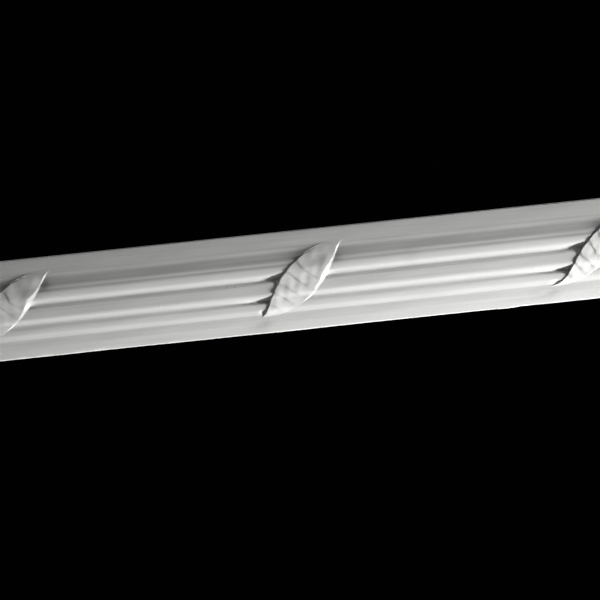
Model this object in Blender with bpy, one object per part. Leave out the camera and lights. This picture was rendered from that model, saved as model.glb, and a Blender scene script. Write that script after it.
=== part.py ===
"""Plaster cornice: a length of reed and ribbon moulding, cast in one piece.

Three reeds, large, middling and small, run along the face between two plain bands, and short
slanting ribbons bind them at a regular pitch. Metres, +Z up. The length runs along X, the face
looks towards -Y, and the flat back lies on y = 0 with the origin at its centre. A height is
measured up from the centre line, and a depth forward from the back, so a point at depth d has
y = -d.
"""

import math

import bmesh
import bpy
import numpy as np

MM = 0.001

# Overall size
FACE_HEIGHT = 100 * MM
RIBBON_PITCH = 300 * MM
RIBBON_COUNT = 3
LENGTH = RIBBON_COUNT * RIBBON_PITCH
ARRIS = 0.8 * MM

# Bands above and below the carved bundle, whose upper one stands further forward
TOP_BAND_DEPTH = 20.0 * MM
BOTTOM_BAND_DEPTH = 17.7 * MM
BUNDLE_HALF = 34 * MM
FILLET_RISE = 0.3 * MM
FILLET_HEIGHT = 4.0 * MM
BOTTOM_HOLLOW = 8 * MM

# The large reed: a gentle rise from the fillet, a faint quirk line, and its crest
LARGE_REED_FOOT = (29.4 * MM, 20.4 * MM)
LARGE_REED_SHOULDER = (17.8 * MM, 22.7 * MM)
QUIRK = (16.6 * MM, 22.7 * MM)
LARGE_REED_CREST = (15.0 * MM, 23.0 * MM)

# Crests of the three reeds, from the top down: upper and lower end of each, and its depth
CREST_TOPS = (LARGE_REED_CREST[0], -1.2 * MM, -21.4 * MM)
CREST_BOTTOMS = (13.0 * MM, -10.2 * MM, -25.0 * MM)
CREST_DEPTHS = (LARGE_REED_CREST[1], 20.0 * MM, 18.5 * MM)

# The groove below each reed, as height and depth
GROOVES = ((2.6 * MM, 19.0 * MM), (-17.6 * MM, 18.1 * MM), (-31.6 * MM, 17.4 * MM))
REED_TURN = math.radians(40)
RISE_STEPS = 3
FALL_STEPS = 5
ROW_SPACING = 2.4 * MM

# Outline of a ribbon on the face
RIBBON_WIDTH = 47 * MM
RIBBON_END_WIDTH = 5 * MM
RIBBON_LEAN = 0.685
RIBBON_HOOK = 9 * MM
RIBBON_TAIL = 8 * MM
SCALLOP = 0.7 * MM
LEFT_WALL = 0.8 * MM
RIGHT_WALL_ENDS = 1.4 * MM
RIGHT_WALL_MIDDLE = 4.6 * MM
RIGHT_WALL_REACH = 15 * MM
RIBBON_COLUMNS = 18

# Relief of a ribbon, stretched over the crests of the reeds
RIBBON_LIFT = 0.4 * MM
RIBBON_STIFFNESS = 8 * MM
STIFFNESS_SAMPLES = 9
RIBBON_CROWN = 0.5 * MM
UPPER_END_FADE = 14 * MM
LOWER_END_FADE = 3 * MM
PLEAT_PITCH = 11.1 * MM
FIRST_PLEAT = 22.5 * MM
PLEAT_SWEEP = 22 * MM
PLEAT_RISE = 0.4 * MM
PLEAT_DROP = 0.25
UPPER_PLEATS_LOWERED = 0.3

PLASTER_COLOUR = (0.80, 0.80, 0.79, 1.0)
PLASTER_ROUGHNESS = 0.85
SHARP_EDGE = math.radians(20)


def quarter_turn(crest, groove, steps):
    """Points from a reed's crest down to its groove, level at the crest and steep at the end."""
    points = []
    for step in range(1, steps + 1):
        turn = REED_TURN * step / steps
        along = math.sin(turn) / math.sin(REED_TURN)
        down = (1 - math.cos(turn)) / (1 - math.cos(REED_TURN))
        height = crest[0] + (groove[0] - crest[0]) * along
        depth = crest[1] + (groove[1] - crest[1]) * down
        points.append((height, depth))
    return points


def s_curve(start, end, steps):
    """Points along an ogee that leaves its start and meets its end level."""
    points = []
    for step in range(1, steps + 1):
        along = step / steps
        eased = 0.5 - 0.5 * math.cos(math.pi * along)
        height = start[0] + (end[0] - start[0]) * along
        points.append((height, start[1] + (end[1] - start[1]) * eased))
    return points


def level_run(start_height, end_height, depth):
    """Points down a level stretch, no further apart than the row spacing."""
    steps = math.ceil((start_height - end_height) / ROW_SPACING)
    return s_curve((start_height, depth), (end_height, depth), steps)


def rise_from_groove(groove, crest):
    """Points from a groove up to the crest below it, the crest's own point last."""
    downward = quarter_turn(crest, groove, RISE_STEPS)
    return downward[-2::-1] + [crest]


def moulding_section():
    """The face's section from its top edge to its bottom edge, as heights and depths."""
    edge = FACE_HEIGHT / 2
    fillet_depth = TOP_BAND_DEPTH + FILLET_RISE
    points = [(edge, TOP_BAND_DEPTH - ARRIS), (edge - ARRIS, TOP_BAND_DEPTH)]
    points += [(BUNDLE_HALF + 1 * MM, TOP_BAND_DEPTH), (BUNDLE_HALF - 1 * MM, fillet_depth)]
    points += [(BUNDLE_HALF - FILLET_HEIGHT, fillet_depth), LARGE_REED_FOOT]
    points += s_curve(LARGE_REED_FOOT, LARGE_REED_SHOULDER, 6) + [QUIRK, LARGE_REED_CREST]
    for index, groove in enumerate(GROOVES):
        depth = CREST_DEPTHS[index]
        if index > 0:
            points += rise_from_groove(GROOVES[index - 1], (CREST_TOPS[index], depth))
        points += level_run(CREST_TOPS[index], CREST_BOTTOMS[index], depth)
        points += quarter_turn((CREST_BOTTOMS[index], depth), groove, FALL_STEPS)
    hollow_end = (GROOVES[-1][0] - BOTTOM_HOLLOW, BOTTOM_BAND_DEPTH)
    points += s_curve(GROOVES[-1], hollow_end, 3)
    points += [(ARRIS - edge, BOTTOM_BAND_DEPTH), (-edge, BOTTOM_BAND_DEPTH - ARRIS)]
    return points


def line_over_reeds(section):
    """A line stretched over the crests, from the bundle's top to its foot, heights descending."""
    line = []
    for height, depth in section:
        if abs(height) > BUNDLE_HALF + 1.2 * MM:
            continue
        while len(line) > 1:
            (start_height, start_depth), (middle_height, middle_depth) = line[-2:]
            along = (start_height - middle_height) / (start_height - height)
            if middle_depth > start_depth + (depth - start_depth) * along:
                break
            line.pop()
        line.append((height, depth))
    return line


def ribbon_bed(line, height):
    """Depth of that line at a height, evened out as a stiff band would lie over the crests."""
    reach = np.linspace(-0.5, 0.5, STIFFNESS_SAMPLES) * RIBBON_STIFFNESS
    heights, depths = zip(*reversed(line))
    return float(np.interp(height + reach, heights, depths).mean())


def end_reach(height):
    """How far a height is towards the ribbon's upper end, +1, or its lower end, -1."""
    return max(-1.0, min(1.0, height / BUNDLE_HALF))


def pleat_phase(across, height):
    """Which pleat a point of the ribbon is on: folds lie at whole numbers, counted downward."""
    roundness = math.sqrt(1 - end_reach(height) ** 2)
    level_at_left_edge = height + PLEAT_SWEEP * across * roundness
    return (FIRST_PLEAT - level_at_left_edge) / PLEAT_PITCH


def pleat_swell(phase):
    """From 0 to 1: a slow rise along the pleat, then a quick drop into the next fold."""
    part = phase - math.floor(phase)
    if part < 1 - PLEAT_DROP:
        return 0.5 - 0.5 * math.cos(math.pi * part / (1 - PLEAT_DROP))
    return 0.5 - 0.5 * math.cos(math.pi * (1 - part) / PLEAT_DROP)


def ribbon_edges(height):
    """Where a ribbon's left and right edges lie along the length, from its own middle."""
    reach = end_reach(height)
    hook = RIBBON_HOOK * abs(reach) ** 3 + RIBBON_TAIL * abs(reach) ** 12
    middle = RIBBON_LEAN * reach * BUNDLE_HALF + math.copysign(hook, reach)
    width = math.hypot(RIBBON_WIDTH * math.sqrt(1 - reach ** 2), RIBBON_END_WIDTH)
    part = pleat_phase(0, height) % 1
    scallop = SCALLOP * math.sin(math.pi * part) * (1 - reach ** 2)
    return middle - width / 2 - scallop, middle + width / 2


def right_wall(height):
    """Width of the sloping side that the ribbon turns to the right."""
    swell = math.exp(-((height / RIGHT_WALL_REACH) ** 2))
    return RIGHT_WALL_ENDS + (RIGHT_WALL_MIDDLE - RIGHT_WALL_ENDS) * swell


def ribbon_thickness(across, height):
    """How far the ribbon's face stands over its bed: lifted, crowned and pleated."""
    crown = RIBBON_CROWN * math.sin(math.pi * across)
    pleat_rise = PLEAT_RISE * (1 - UPPER_PLEATS_LOWERED * max(0.0, end_reach(height)))
    return RIBBON_LIFT + crown + pleat_rise * pleat_swell(pleat_phase(across, height))


def ribbon_rise(height):
    """From 0 at a ribbon's tips to 1 where it stands clear of them, sooner at its lower end."""
    fade = UPPER_END_FADE if height > 0 else LOWER_END_FADE
    part = max(0.0, min(1.0, (BUNDLE_HALF - abs(height)) / fade))
    return part ** 2 * (3 - 2 * part)


def ribbon_row(height, section_depth, bed_depth, middle_x):
    """One row's points across a ribbon: the foot of each side, and the face between them."""
    left, right = ribbon_edges(height)
    shoulder = right - right_wall(height)
    points = [(middle_x + left - LEFT_WALL, section_depth)]
    for column in range(RIBBON_COLUMNS + 1):
        across = column / RIBBON_COLUMNS
        over_section = bed_depth - section_depth + ribbon_thickness(across, height)
        depth = section_depth + over_section * ribbon_rise(height)
        points.append((middle_x + left + (shoulder - left) * across, depth))
    points.append((middle_x + right, section_depth))
    return points


def face_rows():
    """The whole face as rows of points from top to bottom, each row running along the length."""
    section = moulding_section()
    line = line_over_reeds(section)
    rows = []
    for height, depth in section:
        bed_depth = ribbon_bed(line, height)
        row = [(-LENGTH / 2, depth)]
        for index in range(RIBBON_COUNT):
            middle_x = (index - (RIBBON_COUNT - 1) / 2) * RIBBON_PITCH
            row += ribbon_row(height, depth, bed_depth, middle_x)
        row.append((LENGTH / 2, depth))
        rows.append([(x, -point_depth, height) for x, point_depth in row])
    return rows


def plaster_material():
    """Bare white casting plaster, matt all over."""
    material = bpy.data.materials.new("plaster")
    material.use_nodes = True
    shader = material.node_tree.nodes["Principled BSDF"]
    shader.inputs["Base Color"].default_value = PLASTER_COLOUR
    shader.inputs["Roughness"].default_value = PLASTER_ROUGHNESS
    shader.inputs["Metallic"].default_value = 0.0
    material.diffuse_color = PLASTER_COLOUR
    return material


def build_cornice():
    """Close the face with a flat back, two square ends and flat upper and lower edges."""
    mesh = bmesh.new()
    rows = [[mesh.verts.new(point) for point in row] for row in face_rows()]
    for upper, lower in zip(rows, rows[1:]):
        for column in range(len(upper) - 1):
            corners = (upper[column], lower[column], lower[column + 1], upper[column + 1])
            mesh.faces.new(corners)

    edge = FACE_HEIGHT / 2
    back_left_top = mesh.verts.new((-LENGTH / 2, 0, edge))
    back_right_top = mesh.verts.new((LENGTH / 2, 0, edge))
    back_right_bottom = mesh.verts.new((LENGTH / 2, 0, -edge))
    back_left_bottom = mesh.verts.new((-LENGTH / 2, 0, -edge))
    left_end = [row[0] for row in reversed(rows)]
    right_end = [row[-1] for row in rows]
    mesh.faces.new([back_left_top, back_right_top, back_right_bottom, back_left_bottom])
    mesh.faces.new([back_left_bottom, *left_end, back_left_top])
    mesh.faces.new([back_right_top, *right_end, back_right_bottom])
    mesh.faces.new([back_left_top, *rows[0], back_right_top])
    mesh.faces.new([back_right_bottom, *reversed(rows[-1]), back_left_bottom])
    bmesh.ops.recalc_face_normals(mesh, faces=mesh.faces)
    bmesh.ops.triangulate(mesh, faces=mesh.faces)

    data = bpy.data.meshes.new("cornice_length")
    mesh.to_mesh(data)
    mesh.free()
    data.materials.append(plaster_material())
    data.shade_smooth()
    data.set_sharp_from_angle(angle=SHARP_EDGE)
    cornice = bpy.data.objects.new("cornice_length", data)
    bpy.context.scene.collection.objects.link(cornice)
    return cornice


def main():
    for old in list(bpy.data.objects):
        bpy.data.objects.remove(old, do_unlink=True)
    build_cornice()


main()
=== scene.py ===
# %% [markdown]
# A length of plaster cornice, reed and ribbon
#
# The real object is one cast of white plaster: three reeds and an ogee between two plain bands,
# bound every 300 mm by a slanting pleated ribbon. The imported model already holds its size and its
# main form. This lesson makes the surface that a caster would know: soft arrises, thin folds,
# pinholes and the slight wander of a run moulding. Everything is in metres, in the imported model's
# own frame: the length runs along X, the wall is behind at +Y, and Z is up.

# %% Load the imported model
import math

import bpy
import numpy as np
from mathutils import Euler, Matrix, Vector


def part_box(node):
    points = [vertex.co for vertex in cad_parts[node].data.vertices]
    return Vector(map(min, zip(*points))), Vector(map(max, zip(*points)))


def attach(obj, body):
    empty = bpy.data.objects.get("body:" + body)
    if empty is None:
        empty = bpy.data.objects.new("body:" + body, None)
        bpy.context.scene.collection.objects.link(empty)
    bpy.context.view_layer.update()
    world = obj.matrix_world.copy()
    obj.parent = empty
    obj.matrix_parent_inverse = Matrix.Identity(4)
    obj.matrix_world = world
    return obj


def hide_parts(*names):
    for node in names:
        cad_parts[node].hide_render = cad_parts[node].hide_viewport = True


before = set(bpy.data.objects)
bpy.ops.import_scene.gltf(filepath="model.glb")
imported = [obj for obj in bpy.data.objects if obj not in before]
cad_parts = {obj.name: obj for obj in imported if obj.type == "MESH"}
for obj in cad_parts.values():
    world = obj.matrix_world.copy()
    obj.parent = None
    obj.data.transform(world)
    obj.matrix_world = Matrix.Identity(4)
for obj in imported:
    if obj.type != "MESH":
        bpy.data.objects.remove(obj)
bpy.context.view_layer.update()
MM = 0.001
low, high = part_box("cornice_length")
LENGTH = high.x - low.x
FACE_HEIGHT = high.z - low.z
print("cornice", round(LENGTH, 3), "long,", round(FACE_HEIGHT, 3), "high")

# %% [markdown]
# The camera
#
# The photograph looks squarely at the face, from below its middle, and the moulding climbs to the
# right. A long lens far back keeps the parallel edges parallel. The climb is a roll of the camera,
# so the object itself stays level, as it would be fixed. The photograph is 600 pixels wide, and
# the face measures 99.6 of them square to its edges, which gives the camera's distance.

# %% Camera
PHOTO_WIDTH = 600
FACE_IN_PHOTO = 99.6
CLIMB = math.radians(6.03)
PIXEL = FACE_HEIGHT / FACE_IN_PHOTO
LENS = 135
VIEW_CENTRE = Vector((-4.1 * MM, low.y, -20.3 * MM))


def placed(name, data):
    """A new object that holds the data, linked into the scene."""
    made = bpy.data.objects.new(name, data)
    bpy.context.scene.collection.objects.link(made)
    return made


camera_data = bpy.data.cameras.new("camera")
camera_data.lens = LENS
camera = placed("camera", camera_data)
distance = PHOTO_WIDTH * PIXEL * LENS / camera_data.sensor_width
camera.location = VIEW_CENTRE + Vector((0, -distance, 0))
level = Euler((math.radians(90), 0, 0)).to_matrix()
camera.rotation_euler = (level @ Matrix.Rotation(-CLIMB, 3, "Z")).to_euler()
bpy.context.scene.camera = camera
print("camera", round(distance, 2), "m in front of the face")

# %% [markdown]
# The section of the moulding
#
# A plasterer cuts the section in a zinc plate and runs it along wet plaster, so the whole face is
# one curve drawn along the length. A short list carries that curve, downward: each height above
# the middle of the face, with its depth from the wall. A straight line between two points would
# leave a facet under raking light, and an ordinary spline would swing past them, so the slopes are
# held back where the curve turns.

# %% Section
ARRIS = 1.1 * MM
CREST_HEIGHT = 13.8 * MM
TOP_BAND_MM = 20.5
BOTTOM_BAND_MM = 17.7
SECTION_MM = (
    (35.5, TOP_BAND_MM), (32.5, 20.62), (30.0, 20.6), (28.4, 20.75), (24.0, 21.5), (18.8, 22.38),
    (17.0, 22.42), (15.8, 22.6), (14.2, 22.75), (10.0, 22.2), (8.0, 21.65), (4.0, 19.4),
    (2.6, 19.15), (0.2, 19.55), (-2.0, 19.9), (-10.2, 20.0), (-12.0, 19.8), (-16.0, 18.35),
    (-17.6, 18.1), (-22.4, 18.5), (-26.0, 18.35), (-30.0, 17.6), (-31.6, 17.35), (-37.0, 17.6),
    (-40.0, BOTTOM_BAND_MM),
)


def held_slopes(places, values):
    """Slopes that keep a curve through the points from swinging past them."""
    steps = np.diff(values) / np.diff(places)
    slopes = np.zeros(len(values))
    same_way = steps[1:] * steps[:-1] > 0
    joined = 2 * steps[1:] * steps[:-1] / np.where(same_way, steps[1:] + steps[:-1], 1)
    slopes[1:-1] = np.where(same_way, joined, 0)
    return slopes


def curve_through(places, values, wanted):
    """Value at each wanted place on a smooth curve through the points, places ascending."""
    slopes = held_slopes(places, values)
    wanted = np.clip(wanted, places[0], places[-1])
    index = np.clip(np.searchsorted(places, wanted) - 1, 0, len(places) - 2)
    width = places[index + 1] - places[index]
    part = (wanted - places[index]) / width
    start = (1 + 2 * part) * (1 - part) ** 2 * values[index]
    end = part ** 2 * (3 - 2 * part) * values[index + 1]
    leave = part * (1 - part) ** 2 * width * slopes[index]
    arrive = part ** 2 * (part - 1) * width * slopes[index + 1]
    return start + end + leave + arrive


def depth_on(points_mm, height):
    """Depth at a height on the curve through some points in millimetres, the lowest first."""
    points = np.array(points_mm) * MM
    return curve_through(points[:, 0], points[:, 1], height)


def section_depth(height):
    """How far the plain moulding stands in front of the wall at a height."""
    to_edge = np.clip(FACE_HEIGHT / 2 - np.abs(height), 0, ARRIS)
    rounded_off = ARRIS - np.sqrt(ARRIS ** 2 - (ARRIS - to_edge) ** 2)
    return depth_on(SECTION_MM[::-1], height) - rounded_off


crest = section_depth(np.array([CREST_HEIGHT]))[0]
print("section of", len(SECTION_MM), "points, crest", round(crest / MM, 2), "mm from the wall")

# %% [markdown]
# Rows up the face
#
# Raking light shows every facet, so the net of the mesh is drawn fine where the surface turns
# sharply and wide where it is plain. Rows run the length of the piece. Their spacing closes up in
# the grooves and at the arrises.

# %% Rows
ROW_SPACING = 0.6 * MM
CLOSE_ROW_SPACING = 0.35 * MM
CLOSE_HEIGHTS_MM = (-50, -31.6, -17.6, 2.5, 16.4, 50)
CLOSE_REACH = 2.2 * MM
HEIGHTS_TRIED = 4001


def spaced_heights():
    """Heights from the upper edge to the lower one, closer together near the named heights."""
    fine = np.linspace(-FACE_HEIGHT / 2, FACE_HEIGHT / 2, HEIGHTS_TRIED)
    spacing = np.full_like(fine, ROW_SPACING)
    for height in CLOSE_HEIGHTS_MM:
        near = np.exp(-((fine - height * MM) / CLOSE_REACH) ** 2)
        spacing -= (ROW_SPACING - CLOSE_ROW_SPACING) * near
    count = np.concatenate([[0], np.cumsum(np.diff(fine) / spacing[1:])])
    rows = int(round(count[-1]))
    return np.interp(np.linspace(count[-1], 0, rows + 1), count, fine)


heights = spaced_heights()
row_heights = heights[:, None]
print(len(heights), "rows")

# %% [markdown]
# The ends and the folds of a ribbon
#
# Each ribbon is a leaf shape, about 70 mm tall, that slants up to the right. It is pleated, and
# its folds fall away to the right, as a strip does when it is drawn round a bundle. A list holds
# the folds' heights at the left edge, upward. Modelled by hand, no two ribbons are alike, so
# lists of three hold what differs for the left, the middle and the right one: here, how far the
# folds are shifted, as a part of a pleat.

# %% Ribbon ends and folds
UPPER_END = 36.5 * MM
LOWER_END = 34 * MM
FOLD_LEVELS_MM = (-32, -22.5, -11.3, -2.3, 9.3, 19.2, 28)
PLEAT_SWEEP = 22 * MM
PLEAT_SHIFTS = (0.1, 0.0, -0.12)


def end_reach(height):
    """How far a height is towards a ribbon's upper end, +1, or its lower end, -1."""
    return np.clip(height / np.where(height > 0, UPPER_END, LOWER_END), -1, 1)


def end_room(height):
    """How far a height still is from the end of the ribbon that it is nearer to."""
    return np.where(height > 0, UPPER_END, LOWER_END) - np.abs(height)


def pleat_phase(across, height, number):
    """Which pleat a point is on: folds lie at whole numbers, counted downward."""
    level_at_left_edge = height + PLEAT_SWEEP * across * np.sqrt(1 - end_reach(height) ** 2)
    fold_levels = np.array(FOLD_LEVELS_MM) * MM
    fold_numbers = np.arange(len(fold_levels))[::-1]
    return np.interp(level_at_left_edge, fold_levels, fold_numbers) + PLEAT_SHIFTS[number]


ribbon_height = (UPPER_END + LOWER_END) / MM
print("ribbons", round(ribbon_height, 1), "mm tall with", len(FOLD_LEVELS_MM), "folds")

# %% [markdown]
# The outline of a ribbon
#
# A ribbon ends in a small hook and a thin tail, and its left edge bulges a little between the
# folds. The eye rests on these edges, so the net will follow them: at every row the points
# between two ribbons are spread from one ribbon's right edge to the next one's left. The side
# that a ribbon turns to the right is broad in the middle and has one lump. Width, lean, the tail
# at the foot and the lump's height differ from ribbon to ribbon.

# %% Ribbon outline
RIBBON_WIDTHS = (47 * MM, 47 * MM, 34 * MM)
RIBBON_LEANS = (0.8, 0.685, 0.77)
RIBBON_END_WIDTH = 5 * MM
HOOK = 9 * MM
HOOK_POWER = 3
UPPER_TAIL = 8 * MM
LOWER_TAILS = (8 * MM, 8 * MM, 18 * MM)
TAIL_POWER = 12
SCALLOP = 0.8 * MM
RIGHT_WALL_ENDS = 1.4 * MM
RIGHT_WALL_MIDDLE = 5.2 * MM
RIGHT_WALL_HEIGHT = 5 * MM
RIGHT_WALL_REACH = 13 * MM
LUMP = 2.2 * MM
LUMP_HEIGHTS = (8.5 * MM, -8 * MM, -6 * MM)
LUMP_REACH = 3 * MM


def ribbon_edges(height, number):
    """Where a ribbon's left and right edges lie along the length, from its own middle."""
    reach = end_reach(height)
    tail = np.where(height > 0, UPPER_TAIL, LOWER_TAILS[number])
    hook = HOOK * np.abs(reach) ** HOOK_POWER + tail * np.abs(reach) ** TAIL_POWER
    within = np.clip(height, -LOWER_END, UPPER_END)
    middle = RIBBON_LEANS[number] * within + np.sign(reach) * hook
    width = np.hypot(RIBBON_WIDTHS[number] * np.sqrt(1 - reach ** 2), RIBBON_END_WIDTH)
    part = pleat_phase(0, height, number) % 1
    scallop = SCALLOP * np.sin(np.pi * part) * (1 - reach ** 2)
    return middle - width / 2 - scallop, middle + width / 2


def right_wall(height, number):
    """Width of the sloping side that the ribbon turns to the right, with its one lump."""
    swell = np.exp(-(((height - RIGHT_WALL_HEIGHT) / RIGHT_WALL_REACH) ** 2))
    lump = np.exp(-(((height - LUMP_HEIGHTS[number]) / LUMP_REACH) ** 2))
    return RIGHT_WALL_ENDS + (RIGHT_WALL_MIDDLE - RIGHT_WALL_ENDS) * swell + LUMP * lump


left_edge, right_edge = ribbon_edges(heights, 1)
span = (right_edge.max() - left_edge.min()) / MM
print("middle ribbon spans", round(span, 1), "mm of the length")

# %% [markdown]
# Slow waves and gentle steps
#
# Two helpers serve every form that a hand made. A sum of a few slow waves in random directions
# gives the unevenness of clay pressed by a thumb, and a seed makes it the same each time. A
# gentle step goes from 0 to 1 and leaves and arrives smoothly, where a straight ramp would show
# a crease at each end.

# %% Slow waves and gentle steps
WAVES = 9
SHORTEST_WAVE = 1.2
LONGEST_WAVE = 3.2


def wander(along, up, size, seed):
    """Smooth hand-made unevenness, from about -1 to 1, with swells of about a size."""
    random = np.random.default_rng(seed)
    total = 0 * (along + up)
    for _ in range(WAVES):
        turn = random.uniform(0, 2 * np.pi)
        start = random.uniform(0, 2 * np.pi)
        length = size * random.uniform(SHORTEST_WAVE, LONGEST_WAVE)
        onward = along * np.cos(turn) + up * np.sin(turn)
        total = total + np.sin(2 * np.pi * onward / length + start)
    return total / np.sqrt(WAVES)


def eased(low_end, high_end, value):
    """From 0 to 1 between two ends, leaving and arriving gently."""
    part = np.clip((value - low_end) / (high_end - low_end), 0, 1)
    return part ** 2 * (3 - 2 * part)


print("a quarter of the way, a gentle step has risen to", eased(0, 1, 0.25))

# %% [markdown]
# The pleats
#
# Across its folds the ribbon is like laid tiles: each pleat rises slowly and drops quickly into
# the next fold. A pleat could be modelled by hand, but as a curve of the distance to the folds it
# follows them wherever they run. The folds wander a little away from the left edge. The pleats
# fade towards the right, where the strip thins out, and in the upper part, which is nearly smooth.

# %% Pleats
PLEAT_RISE = 0.36 * MM
PLEAT_DROP = 0.2
PLEAT_FADE = 0.5
PLEAT_FADE_START = 0.3
PLEAT_FADE_END = 0.8
UPPER_PLEATS_START = 0.3
UPPER_PLEATS_END = 0.85
PLEAT_WANDER = 0.06
PLEAT_WANDER_START = 0.3
PLEAT_WANDER_SIZE = 14 * MM
PLEAT_WANDER_SEED = 3


def pleat_swell(phase):
    """From 0 to 1: a slow rise along the pleat, then a quick drop into the next fold."""
    part = phase - np.floor(phase)
    rise = eased(0, 1 - PLEAT_DROP, part)
    return np.where(part < 1 - PLEAT_DROP, rise, eased(0, PLEAT_DROP, 1 - part))


def pleat_relief(across, height, along, number):
    """How far the pleats stand out of a ribbon's face."""
    free = PLEAT_WANDER * eased(0, PLEAT_WANDER_START, across)
    bent = free * wander(along, height, PLEAT_WANDER_SIZE, PLEAT_WANDER_SEED + number)
    upper = np.clip(end_reach(height), 0, 1)
    high_up = eased(UPPER_PLEATS_START, UPPER_PLEATS_END, upper)
    to_the_right = eased(PLEAT_FADE_START, PLEAT_FADE_END, across)
    lowered = 1 - PLEAT_FADE * to_the_right - high_up
    swell = pleat_swell(pleat_phase(across, height, number) + bent)
    return PLEAT_RISE * np.clip(lowered, 0, 1) * swell


print("pleats rise", PLEAT_RISE / MM, "mm and drop in the last", PLEAT_DROP, "of their width")

# %% [markdown]
# The face of a ribbon
#
# In the plasterer's model the ribbon was a thin strip of clay laid over the reeds: it rests on
# their crests and bridges the grooves. Two lists give the depth of its left edge and of its right
# shoulder, upward. The face spans them, rolls over just inside the left edge, and carries the
# pleats and a little unevenness. Towards its lower right the strip thins out and melts into the
# reeds, and at its two ends the relief dies away.

# %% Ribbon face
LEFT_EDGE_MM = (
    (-34.5, 17.35), (-32.0, 17.75), (-28.0, 18.6), (-22.0, 19.25), (-16.0, 19.7), (-10.0, 20.4),
    (-4.0, 20.65), (2.0, 21.4), (8.0, 22.4), (12.0, 22.95), (16.0, 23.1), (20.0, 22.95),
    (24.0, 22.4), (28.0, 21.6), (31.0, 21.1), (36.5, 20.5),
)
SHOULDER_MM = (
    (-34.5, 17.35), (-30.0, 17.65), (-26.0, 18.35), (-22.0, 18.5), (-16.0, 18.8), (-12.0, 20.05),
    (-8.0, 20.6), (-4.0, 20.9), (0.0, 21.6), (4.0, 22.3), (8.0, 23.05), (12.0, 23.35),
    (16.0, 23.0), (20.0, 22.35), (24.0, 21.65), (28.0, 21.1), (31.0, 20.85), (36.5, 20.5),
)
CROWN = 0.35 * MM
EDGE_ROLL = 0.03
UPPER_EDGE_ROLL = 0.05
UPPER_END_FADE = 12 * MM
LOWER_END_FADE = 9 * MM
UNEVENNESS = 0.07 * MM
UNEVENNESS_SIZE = 7 * MM
UNEVENNESS_SEED = 7


def ribbon_face(across, height, number):
    """Depth of a ribbon's face, across running from 0 at its left edge to 1 at its shoulder."""
    left_depth = depth_on(LEFT_EDGE_MM, height)
    right_depth = depth_on(SHOULDER_MM, height)
    upper = np.clip(end_reach(height), 0, 1)
    crown = CROWN * (1 - across) * eased(0, EDGE_ROLL + UPPER_EDGE_ROLL * upper, across)
    left, right = ribbon_edges(height, number)
    along = left + (right - left) * across
    pleats = pleat_relief(across, height, along, number)
    uneven = UNEVENNESS * wander(along, height, UNEVENNESS_SIZE, UNEVENNESS_SEED + number)
    end_fade = np.where(height > 0, UPPER_END_FADE, LOWER_END_FADE)
    inside = eased(0, 1, end_room(height) / end_fade)
    spanned = left_depth + (right_depth - left_depth) * across + (crown + pleats + uneven) * inside
    return np.where(end_room(height) > 0, spanned, section_depth(height))


highest = max(shoulder_depth for _, shoulder_depth in SHOULDER_MM)
print("ribbon's shoulder stands up to", highest, "mm from the wall")

# %% [markdown]
# Where the reeds meet a ribbon
#
# The reeds aren't simply cut by the ribbon. They swell a little as they come up to its left edge,
# the ogee most of all, and the grooves between them are scooped out there and drawn up towards
# it, where the modeller's tool went in. On the right side the grooves turn down instead, and the
# large reed is pinched in. All of it dies away along the length, so each is a height or a depth
# times a falling curve. For each groove a list holds its height, how far it is drawn up, how deep
# it is scooped, and how far the scoop reaches.

# %% Beside a ribbon
GROOVE_RUNS_MM = ((2.5, 2.8, 1.3, 16), (-17.6, 0.2, 2.8, 18))
SCOOP_HALF_HEIGHT = 1.7 * MM
DRAWN_UP_REACH = 11 * MM
TURNED_DOWN = 0.6
TURNED_DOWN_REACH = 4 * MM
DRAWN_HALF_HEIGHT = 6 * MM
SWELL = 0.35 * MM
SWELL_REACH = 14 * MM
SWELL_END_FADE = 8 * MM
OGEE_SWELL = 0.65 * MM
OGEE_SWELL_REACH = 9 * MM
OGEE_FOOT = 15 * MM
OGEE_TOP = 26 * MM
PINCH = 0.45 * MM
PINCH_REACH = 10 * MM
PINCH_START = -2 * MM
PINCH_END = 12 * MM
FAR = 10.0


def plain_depth(height, before, after):
    """Depth of the reeds, so far before a ribbon's left edge and after one's right edge."""
    drawn = np.exp(-before / DRAWN_UP_REACH) - TURNED_DOWN * np.exp(-after / TURNED_DOWN_REACH)
    shift = 0
    for groove, rise, _, _ in GROOVE_RUNS_MM:
        near = np.exp(-((height - groove * MM) / DRAWN_HALF_HEIGHT) ** 2)
        shift = shift + rise * MM * drawn * near
    depth = section_depth(height - shift) + 0 * drawn
    for groove, _, scoop, reach in GROOVE_RUNS_MM:
        near = np.exp(-((height - shift - groove * MM) / SCOOP_HALF_HEIGHT) ** 2)
        depth = depth - scoop * MM * near * np.exp(-before / (reach * MM))
    inside = eased(0, SWELL_END_FADE, end_room(height))
    pinched = PINCH * eased(PINCH_START, PINCH_END, height) * np.exp(-after / PINCH_REACH)
    on_ogee = OGEE_SWELL * eased(OGEE_FOOT, OGEE_TOP, height) * np.exp(-before / OGEE_SWELL_REACH)
    return depth + inside * (SWELL * np.exp(-before / SWELL_REACH) + on_ogee - pinched)


left_foot = plain_depth(row_heights, 0 * row_heights, FAR)
right_foot = plain_depth(row_heights, FAR, 0 * row_heights)
print("beside a ribbon the reeds lie down to", round(left_foot.min() / MM, 2), "mm from the wall")

# %% [markdown]
# Columns along a bay
#
# A bay is the plain stretch between two ribbons, and half a bay is left at each end of the piece,
# so that two lengths butt together with the pattern unbroken. The columns of the net crowd
# towards the ribbons, where the forms are small, and spread out in the middle of a bay.

# %% Columns
BAY_CROWDING = 0.75
HALF_BAY_CROWDING = 0.9


def bay_parts(columns):
    """Fractions along a bay, crowded towards the ribbons at its two ends."""
    part = np.linspace(0, 1, columns + 1)[1:-1]
    return part - BAY_CROWDING * np.sin(2 * np.pi * part) / (2 * np.pi)


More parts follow.
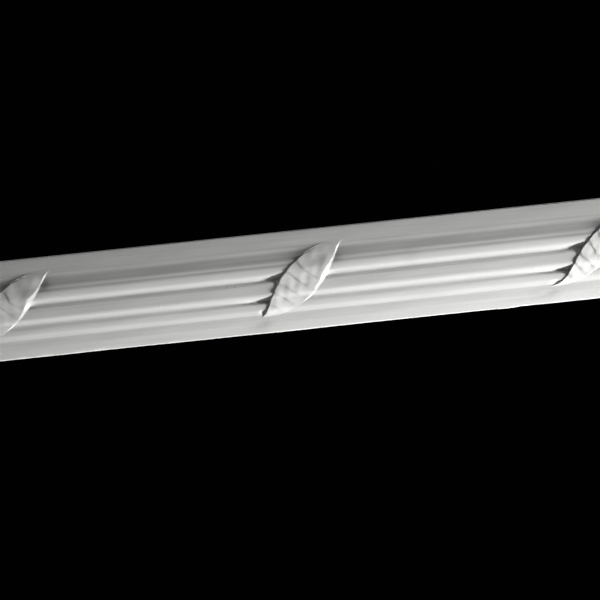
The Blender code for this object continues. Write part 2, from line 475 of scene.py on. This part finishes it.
def half_bay_parts(columns):
    """Fractions from an end of the piece to its nearest ribbon, crowded towards the ribbon."""
    part = np.linspace(0, 1, columns + 1)[:-1]
    return np.sin(np.pi / 2 * part) ** HALF_BAY_CROWDING


crowded = round(bay_parts(4)[0], 3)
print("in four steps, the first column stands not at 0.25 but at", crowded, "of a bay")

# %% [markdown]
# The net of the whole face
#
# One row after another is laid out from the left end to the right one: a half bay, then each
# ribbon with its two walls, a bay after it, and a half bay at the end. Every row has the same
# count of points, so the rows join into four-sided faces with no gap.

# %% Net
RIBBON_PITCH = 300 * MM
LEFT_WALL = 0.9 * MM
FACE_COLUMNS = 64
LEFT_WALL_COLUMNS = 4
RIGHT_WALL_COLUMNS = 9
BAY_COLUMNS = 80
HALF_BAY_COLUMNS = 38
ribbon_middles = RIBBON_PITCH * np.array([-1, 0, 1])


def ribbon_strips(number, middle):
    """Places and depths of a ribbon's left wall, its face and its right wall."""
    wall_part = np.linspace(0, 1, LEFT_WALL_COLUMNS + 1)[None, :-1]
    face_part = np.linspace(0, 1, FACE_COLUMNS + 1)[None, :]
    slope_part = np.linspace(0, 1, RIGHT_WALL_COLUMNS + 1)[None, 1:]
    left, right = ribbon_edges(row_heights, number)
    shoulder = right - right_wall(row_heights, number)
    face = ribbon_face(face_part, row_heights, number)
    fall = (slope_part + eased(0, 1, slope_part)) / 2
    places = [
        middle + left - LEFT_WALL + LEFT_WALL * wall_part,
        middle + left + (shoulder - left) * face_part,
        middle + shoulder + (right - shoulder) * slope_part,
    ]
    depths = [
        left_foot + (face[:, :1] - left_foot) * eased(0, 1, wall_part),
        face,
        face[:, -1:] + (right_foot - face[:, -1:]) * fall,
    ]
    return places, depths


def net_of_face():
    """Place along the length and depth of every point, as rows by columns."""
    places, depths = [], []
    reached = np.full_like(row_heights, -LENGTH / 2)
    for number, middle in enumerate(ribbon_middles):
        left, right = ribbon_edges(row_heights, number)
        foot = middle + left - LEFT_WALL
        first = number == 0
        parts = half_bay_parts(HALF_BAY_COLUMNS) if first else bay_parts(BAY_COLUMNS)
        bay = reached + (foot - reached) * parts[None, :]
        strip_places, strip_depths = ribbon_strips(number, middle)
        places += [bay] + strip_places
        since_last = FAR if first else bay - reached
        depths += [plain_depth(row_heights, foot - bay, since_last)] + strip_depths
        reached = middle + right
    parts = 1 - half_bay_parts(HALF_BAY_COLUMNS)[None, ::-1]
    bay = reached + (LENGTH / 2 - reached) * parts
    places.append(bay)
    depths.append(plain_depth(row_heights, FAR, bay - reached))
    return np.hstack(places), np.hstack(depths)


place, depth = net_of_face()
print("net of", place.shape[0], "rows by", place.shape[1], "columns")

# %% [markdown]
# The wander of the hand
#
# No length of run plaster is true. The plate rides over grit, the cast shrinks as it dries, and a
# thumb leaves a soft dip in a band. The swells and streaks are hundredths of a millimetre, drawn
# out along the length, the way that the plate went, and raking light finds every one. The dips,
# the hollows at the ribbons' feet and the nicks in the lower arris are some tenths deep: a list
# holds each one's place, height, half length, half height and depth. The lower edge also bulges
# and dips a little, by place, half length and amount.

# %% Wander
RUN_WAVE = 0.06 * MM
RUN_WAVE_SIZE = 8 * MM
RUN_WAVE_STRETCH = 4
RUN_WAVE_SEED = 11
STREAK = 0.018 * MM
STREAK_SIZE = 2 * MM
STREAK_STRETCH = 40
STREAK_SEED = 12
DIPS_MM = (
    (-44, -39, 8, 3, 0.2), (246, -39, 8, 3, 0.25), (113, 14, 4, 2, 0.1), (34, 19, 5, 3.5, 0.25),
    (-262, 22, 6, 5, 0.5), (-285, -49.6, 2.5, 1, 0.7), (-262, -49.4, 4, 1, 0.6),
    (-228, -49.8, 3, 1.2, 0.8), (-206, -49.4, 5, 1, 0.5), (-131, -49.7, 2, 1, 0.5),
    (-42.3, -29, 2.5, 2, 0.7), (255, -29.6, 4, 1.8, 0.7),
)
LOWER_EDGE_WAVES_MM = ((204, 12, 0.5), (222, 9, -0.6), (-12, 30, 0.3), (-180, 40, -0.25))
LOWER_EDGE_REACH = 3 * MM


def lower_edge_moved(place, height):
    """How far the lower edge wanders up or down: a bulge hangs down, a dip is drawn up."""
    near_edge = np.exp(-(height + FACE_HEIGHT / 2) / LOWER_EDGE_REACH)
    moved = 0 * place
    for along, length, bulge in LOWER_EDGE_WAVES_MM:
        moved = moved - bulge * MM * np.exp(-((place / MM - along) / length) ** 2)
    return moved * near_edge


def wandered(place, height):
    """How much the hand and the mould moved each point of the face, forward of the wall."""
    moved = RUN_WAVE * wander(place / RUN_WAVE_STRETCH, height, RUN_WAVE_SIZE, RUN_WAVE_SEED)
    moved = moved + STREAK * wander(place / STREAK_STRETCH, height, STREAK_SIZE, STREAK_SEED)
    for along, middle, length, tall, deep in DIPS_MM:
        off = np.hypot((place / MM - along) / length, (height / MM - middle) / tall)
        moved = moved - deep * MM * np.exp(-off ** 2)
    return moved


moved = wandered(place, row_heights)
depth = depth + moved
edge_moved = lower_edge_moved(place, row_heights)
print("moved by", round(moved.min() / MM, 2), "to", round(moved.max() / MM, 2), "mm")

# %% [markdown]
# Closing the casting
#
# A fibrous plaster length is cast face down, so its back is the flat surface that the caster
# struck off. The back is a coarser net that shares the face's columns, so that the two long edges
# can join it point to point. The two ends are sawn square, so each is one flat face.

# %% Faces of the casting
BACK_ROWS = 8


def quads(rows, columns, first, flip):
    """Four-sided faces of a net whose points are numbered row by row from a first number."""
    corner = first + np.arange(rows - 1)[:, None] * columns + np.arange(columns - 1)[None, :]
    corners = [corner, corner + columns, corner + columns + 1, corner + 1]
    faces = np.stack(corners[::-1] if flip else corners, axis=-1)
    return faces.reshape(-1, 4).tolist()


def long_edges(rows, columns, back):
    """Faces from the first and the last row of the face to those of the back."""
    last_face_row = (rows - 1) * columns
    last_back_row = back + (BACK_ROWS - 1) * columns
    faces = []
    for column in range(columns - 1):
        faces.append([column, column + 1, back + column + 1, back + column])
        lower, behind = last_face_row + column, last_back_row + column
        faces.append([lower, behind, behind + 1, lower + 1])
    return faces


def sawn_ends(rows, columns, back):
    """One flat face at each end, through every row of the face and of the back."""
    left_face = [row * columns for row in range(rows)]
    left_back = [back + row * columns for row in reversed(range(BACK_ROWS))]
    right_face = [row * columns + columns - 1 for row in reversed(range(rows))]
    right_back = [back + row * columns + columns - 1 for row in range(BACK_ROWS)]
    return [left_back + left_face, right_face + right_back]


rows, columns = place.shape
back = rows * columns
faces = quads(rows, columns, 0, False) + quads(BACK_ROWS, columns, back, True)
faces += long_edges(rows, columns, back) + sawn_ends(rows, columns, back)
print(len(faces), "faces")

# %% [markdown]
# One mesh for the whole casting
#
# The bands, the reeds and the ribbons come out of one mould with no joint line between them, so
# they are one mesh, built straight from its points. Smooth shading makes curves of the reeds and
# folds. Only edges sharper than 35 degrees, such as those of the sawn ends, stay crisp.

# %% Casting
SHARP_EDGE = math.radians(35)


def casting_points():
    """Every point of the face, row by row, and then every point of the back."""
    face_points = np.stack([place, -depth, row_heights + edge_moved], -1)
    part = np.linspace(0, 1, BACK_ROWS)[:, None]
    back_x = place[0] * (1 - part) + place[-1] * part
    back_z = heights[0] * (1 - part) + heights[-1] * part + 0 * back_x
    back_points = np.stack([back_x, 0 * back_x, back_z], -1)
    return np.vstack([face_points.reshape(-1, 3), back_points.reshape(-1, 3)])


mesh = bpy.data.meshes.new("plaster_casting")
mesh.from_pydata(casting_points().tolist(), [], faces)
mesh.shade_smooth()
mesh.set_sharp_from_angle(angle=SHARP_EDGE)
casting = placed("plaster_casting", mesh)
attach(casting, "root")
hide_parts("cornice_length")
print("casting of", sum(len(face.vertices) - 2 for face in mesh.polygons), "triangles")

# %% [markdown]
# Shader maths as plain Python
#
# A procedural finish is arithmetic on patterns. Wrapping a socket in a small class lets that
# arithmetic be written as expressions, each of which adds its own Math node.

# %% Signals
class Signal:
    """A socket of a material's nodes. Arithmetic on it adds Math nodes."""

    def __init__(self, tree, socket=None):
        self.tree = tree
        self.socket = socket

    def node(self, kind, sockets=None, output=0, **settings):
        """Add a node with its settings first, then its sockets' values or links."""
        made = self.tree.nodes.new(kind)
        for name, value in settings.items():
            setattr(made, name, value)
        for name, value in (sockets or {}).items():
            if isinstance(value, Signal):
                self.tree.links.new(value.socket, made.inputs[name])
            else:
                made.inputs[name].default_value = value
        return Signal(self.tree, made.outputs[output])

    def maths(self, operation, first, second):
        return self.node("ShaderNodeMath", {0: first, 1: second}, operation=operation)

    def __add__(self, other):
        return self.maths("ADD", self, other)

    def __radd__(self, other):
        return self.maths("ADD", other, self)

    def __sub__(self, other):
        return self.maths("SUBTRACT", self, other)

    def __rsub__(self, other):
        return self.maths("SUBTRACT", other, self)

    def __mul__(self, other):
        return self.maths("MULTIPLY", self, other)

    def __rmul__(self, other):
        return self.maths("MULTIPLY", other, self)


print("signals add, subtract and multiply")

# %% [markdown]
# Patterns and marks
#
# Three helpers make every pattern of the finish: a cloudy noise, a mix of two colours, and round
# marks at given places. The marks are measured square to the face, so a mark on the slope of a
# reed stays round as the photograph shows it. They take no account of depth, so each also shows
# faintly on the back, straight behind its place.

# %% Patterns and marks
def noise(signal, coordinates, scale, detail):
    """A cloudy pattern from 0 to 1 at so many clouds to the metre."""
    sockets = {"Vector": coordinates, "Scale": scale, "Detail": detail}
    return signal.node("ShaderNodeTexNoise", sockets)


def mixed(signal, factor, first, second):
    """A colour between two others."""
    sockets = {0: factor, 6: first, 7: second}
    return signal.node("ShaderNodeMix", sockets, output=2, data_type="RGBA")


def spots(signal, place, centres_mm, radius):
    """Small round marks on the face: 1 at each centre, falling to 0 at the radius."""
    seen_from_front = signal.node("ShaderNodeMapping", {"Vector": place, "Scale": (1, 0, 1)})
    near = 0.0
    for along, up in centres_mm:
        sockets = {0: seen_from_front, 1: (along * MM, 0, up * MM)}
        away = signal.node("ShaderNodeVectorMath", sockets, "Value", operation="DISTANCE")
        near = near + signal.maths("MAXIMUM", 1 - away * (1 / radius), 0.0)
    return near


print("helpers for noise, mixed colours and spots made")

# %% [markdown]
# Bare plaster
#
# Unpainted casting plaster is matt and nearly white. What keeps it from looking like paper is
# faint: cloudy patches where the cast dried unevenly, and fine streaks along the length from the
# running of the mould. They vary the colour by a few parts in a hundred, and the same streaks
# with a fine grain drive a very low bump. Two pinholes, where an air bubble sat against the
# mould, are sunk and darkened with painted shade. Two nibs stand up a little, and painted shade
# greys a few soft patches over shallow dips, each at the place where the photograph shows it.
# The pair of numbers for each pattern is its clouds to the metre and its detail.

# %% Plaster finish
PLASTER_LIGHT = (0.83, 0.83, 0.82, 1)
PLASTER_DARK = (0.75, 0.75, 0.735, 1)
# Dark grey of the painted shade in the pinholes and over the shallow dips.
PAINTED_SHADE_DARK = (0.3, 0.3, 0.29, 1)
PINHOLES_MM = ((-76.8, -0.5), (-68.7, -0.3))
PINHOLE_RADIUS = 0.9 * MM
NIBS_MM = ((-144.7, -12.4), (234.0, -12.8))
NIB_RADIUS = 1.8 * MM
# Soft patches of painted shade over shallow dips: their places along and up, in millimetres.
PAINTED_SHADE_MM = ((246, -38), (236, -39), (-43, -38), (-50, -40), (111, 14))
PAINTED_SHADE_RADIUS = 13 * MM
PAINTED_SHADE_STRENGTH = 0.16
PATCHES = (28, 4)
GRAIN = (900, 3)
STREAKS = (260, 3)
ALONG_THE_RUN = (0.04, 1, 1)
PATCH_SHADE = 0.5
STREAK_SHADE = 0.3
GRAIN_SHADE = 0.2
ROUGHNESS = 0.78
GRAIN_ROUGHNESS = 0.14
STREAK_RELIEF = 0.6
GRAIN_RELIEF = 0.4
MARK_RELIEF = 2
BUMP_STRENGTH = 0.3
BUMP_HEIGHT = 0.15 * MM


def plaster_finish():
    """The matt white finish of the whole casting."""
    material = bpy.data.materials.new("plaster")
    material.use_nodes = True
    tree = material.node_tree
    signal = Signal(tree)
    on_object = signal.node("ShaderNodeTexCoord", output="Object")
    drawn_out = signal.node("ShaderNodeMapping", {"Vector": on_object, "Scale": ALONG_THE_RUN})
    patches = noise(signal, on_object, *PATCHES)
    grain = noise(signal, on_object, *GRAIN)
    streaks = noise(signal, drawn_out, *STREAKS)
    holes = spots(signal, on_object, PINHOLES_MM, PINHOLE_RADIUS)
    nibs = spots(signal, on_object, NIBS_MM, NIB_RADIUS)
    # Mask of the painted shade patches over the shallow dips.
    painted_shade = spots(signal, on_object, PAINTED_SHADE_MM, PAINTED_SHADE_RADIUS)
    shade = patches * PATCH_SHADE + streaks * STREAK_SHADE + grain * GRAIN_SHADE
    colour = mixed(signal, shade, PLASTER_DARK, PLASTER_LIGHT)
    # Painted shade: the pinholes and the dip patches are darkened towards one dark grey.
    colour = mixed(signal, holes + painted_shade * PAINTED_SHADE_STRENGTH, colour, PAINTED_SHADE_DARK)
    roughness = ROUGHNESS + grain * GRAIN_ROUGHNESS
    relief = streaks * STREAK_RELIEF + grain * GRAIN_RELIEF
    relief = relief + nibs * MARK_RELIEF - holes * MARK_RELIEF
    bump = {"Height": relief, "Strength": BUMP_STRENGTH, "Distance": BUMP_HEIGHT}
    normal = signal.node("ShaderNodeBump", bump)
    shader = tree.nodes["Principled BSDF"]
    tree.links.new(colour.socket, shader.inputs["Base Color"])
    tree.links.new(roughness.socket, shader.inputs["Roughness"])
    tree.links.new(normal.socket, shader.inputs["Normal"])
    return material


casting.data.materials.append(plaster_finish())
print("plaster finish made with", len(PINHOLES_MM), "pinholes and", len(NIBS_MM), "nibs")

# %% [markdown]
# The floor
#
# A plain pale floor lies well below the piece, out of the photograph's frame. It is no part of
# the object. It only gives the other views some ground and a little light from below.

# %% Floor
FLOOR_DROP = 0.75
FLOOR_FRONT = -4.0
FLOOR_BACK = 2.2
FLOOR_SIDE = 1.9
FLOOR_COLOUR = (0.72, 0.72, 0.71, 1)
FLOOR_ROUGHNESS = 0.9


def make_floor():
    """One flat sheet of pale floor."""
    corners = [
        (-FLOOR_SIDE, FLOOR_FRONT, -FLOOR_DROP),
        (FLOOR_SIDE, FLOOR_FRONT, -FLOOR_DROP),
        (FLOOR_SIDE, FLOOR_BACK, -FLOOR_DROP),
        (-FLOOR_SIDE, FLOOR_BACK, -FLOOR_DROP),
    ]
    mesh = bpy.data.meshes.new("floor")
    mesh.from_pydata(corners, [], [(0, 1, 2, 3)])
    material = bpy.data.materials.new("pale_floor")
    material.use_nodes = True
    shader = material.node_tree.nodes["Principled BSDF"]
    shader.inputs["Base Color"].default_value = FLOOR_COLOUR
    shader.inputs["Roughness"].default_value = FLOOR_ROUGHNESS
    mesh.materials.append(material)
    return placed("floor", mesh)


make_floor()
print("floor", FLOOR_DROP, "m below the piece")

# %% [markdown]
# The raking light
#
# The photograph is lit from the far right and a little below, by light that only grazes the face.
# It gives the ribbons their bright right sides and their shadows on the left, and it fades
# towards the upper left. A far row of spot lamps gives that light: the piece lies in the soft rim
# of their beams, where they fade by themselves, and five lamps in a row soften the shadows as one
# wide lamp would.

# %% Raking lamps
KEY_PLACE = Vector((7.6, -1.3, -2.33))
KEY_TARGET = Vector((0.20, 1.06, -0.54))
KEY_CONE = math.radians(18.2)
KEY_SOFT_RIM = 1
KEY_LAMPS = 5
KEY_SPREAD = 0.42
KEY_RADIUS = 0.1
KEY_POWER = 240000


def aim(lamp, target):
    """Turn a lamp to shine at a point."""
    lamp.rotation_euler = (lamp.location - target).to_track_quat("Z", "Y").to_euler()


def raking_lamps():
    """A far row of spot lamps, low on the right, that catch the piece with their soft rim."""
    data = bpy.data.lights.new("raking_lamp", "SPOT")
    data.spot_size = KEY_CONE
    data.spot_blend = KEY_SOFT_RIM
    data.shadow_soft_size = KEY_RADIUS
    data.energy = KEY_POWER / KEY_LAMPS
    for number, side in enumerate(np.linspace(-1, 1, KEY_LAMPS)):
        lamp = placed(f"raking_lamp_{number + 1}", data)
        lamp.location = KEY_PLACE + Vector((0, KEY_SPREAD * side, 0))
        aim(lamp, KEY_TARGET)


raking_lamps()
print(KEY_LAMPS, "raking lamps,", round(KEY_PLACE.length, 1), "m from the middle of the piece")

# %% [markdown]
# Soft lamps and the dark studio
#
# Broad, faint lamps in front, behind and above keep the other sides readable. Each is listed with
# its place, its width and its power, and looks at the middle of the piece. The studio itself is
# all but black, as behind the piece in the photograph.

# %% Soft lamps
SOFT_LAMPS = (
    ("front_fill", (0.2, -2.6, 0.4), 2.0, 1.5),
    ("back_lamp", (-2.0, 1.6, 1.0), 1.0, 40),
    ("top_lamp", (0.3, 0.9, 2.2), 1.5, 18),
)
PIECE_MIDDLE = Vector((0, 0, 0))
STUDIO_DARK = (0.0004, 0.0004, 0.0004, 1)


def soft_lamp(name, place, width, power):
    """A broad square lamp that lights the piece and is not itself seen."""
    data = bpy.data.lights.new(name, "AREA")
    data.shape = "SQUARE"
    data.size = width
    data.energy = power
    lamp = placed(name, data)
    lamp.location = place
    lamp.visible_camera = False
    aim(lamp, PIECE_MIDDLE)


for lamp in SOFT_LAMPS:
    soft_lamp(*lamp)
world = bpy.data.worlds.new("studio")
world.use_nodes = True
world.node_tree.nodes["Background"].inputs["Color"].default_value = STUDIO_DARK
bpy.context.scene.world = world
bpy.context.scene.view_settings.view_transform = "Standard"
print(len(SOFT_LAMPS), "soft lamps")
